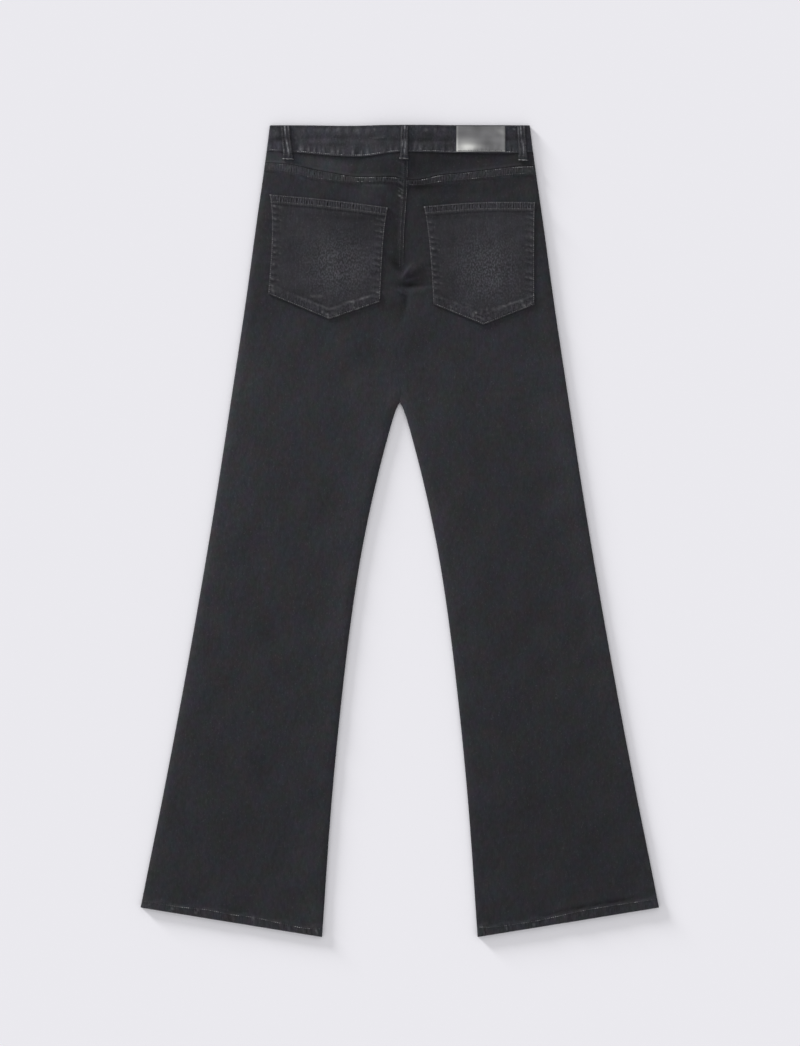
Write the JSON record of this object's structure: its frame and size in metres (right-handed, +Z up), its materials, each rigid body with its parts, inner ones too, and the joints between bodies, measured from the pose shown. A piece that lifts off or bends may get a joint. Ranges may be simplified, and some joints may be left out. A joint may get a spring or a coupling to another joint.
{
  "type": "flared jeans",
  "caption": "Full-length flared jeans in washed black denim, laid flat on their front with the back up and the fly closed.",
  "frame": {"origin": "centre of the garment's outline, on the surface it lies on", "axes": "+X across the garment to its right side as seen from above, +Y from the hems to the waist, +Z up from the surface, through the back of the garment"},
  "size_m": [0.701, 1.1, 0.0111],
  "materials": {
    "denim": "matt washed black twill",
    "patch": "satin grey",
    "zip_tape": "matt woven tape",
    "button_metal": "satin dark nickel"
  },
  "bodies": {
    "root": {"leg_back_left": "denim", "leg_back_right": "denim", "yoke_left": "denim", "yoke_right": "denim", "pocket_back_left": "denim", "pocket_back_right": "denim", "leg_front_left": "denim", "leg_front_right": "denim", "pocket_facing_left": "denim", "pocket_facing_right": "denim", "waistband": "denim", "belt_loop_back_left": "denim", "belt_loop_back_centre": "denim", "belt_loop_back_right": "denim", "belt_loop_front_left": "denim", "belt_loop_front_right": "denim", "waist_patch": "patch", "fly_zip": "zip_tape", "fly_shield": "denim", "front_button": "button_metal"}
  },
  "joints": []
}
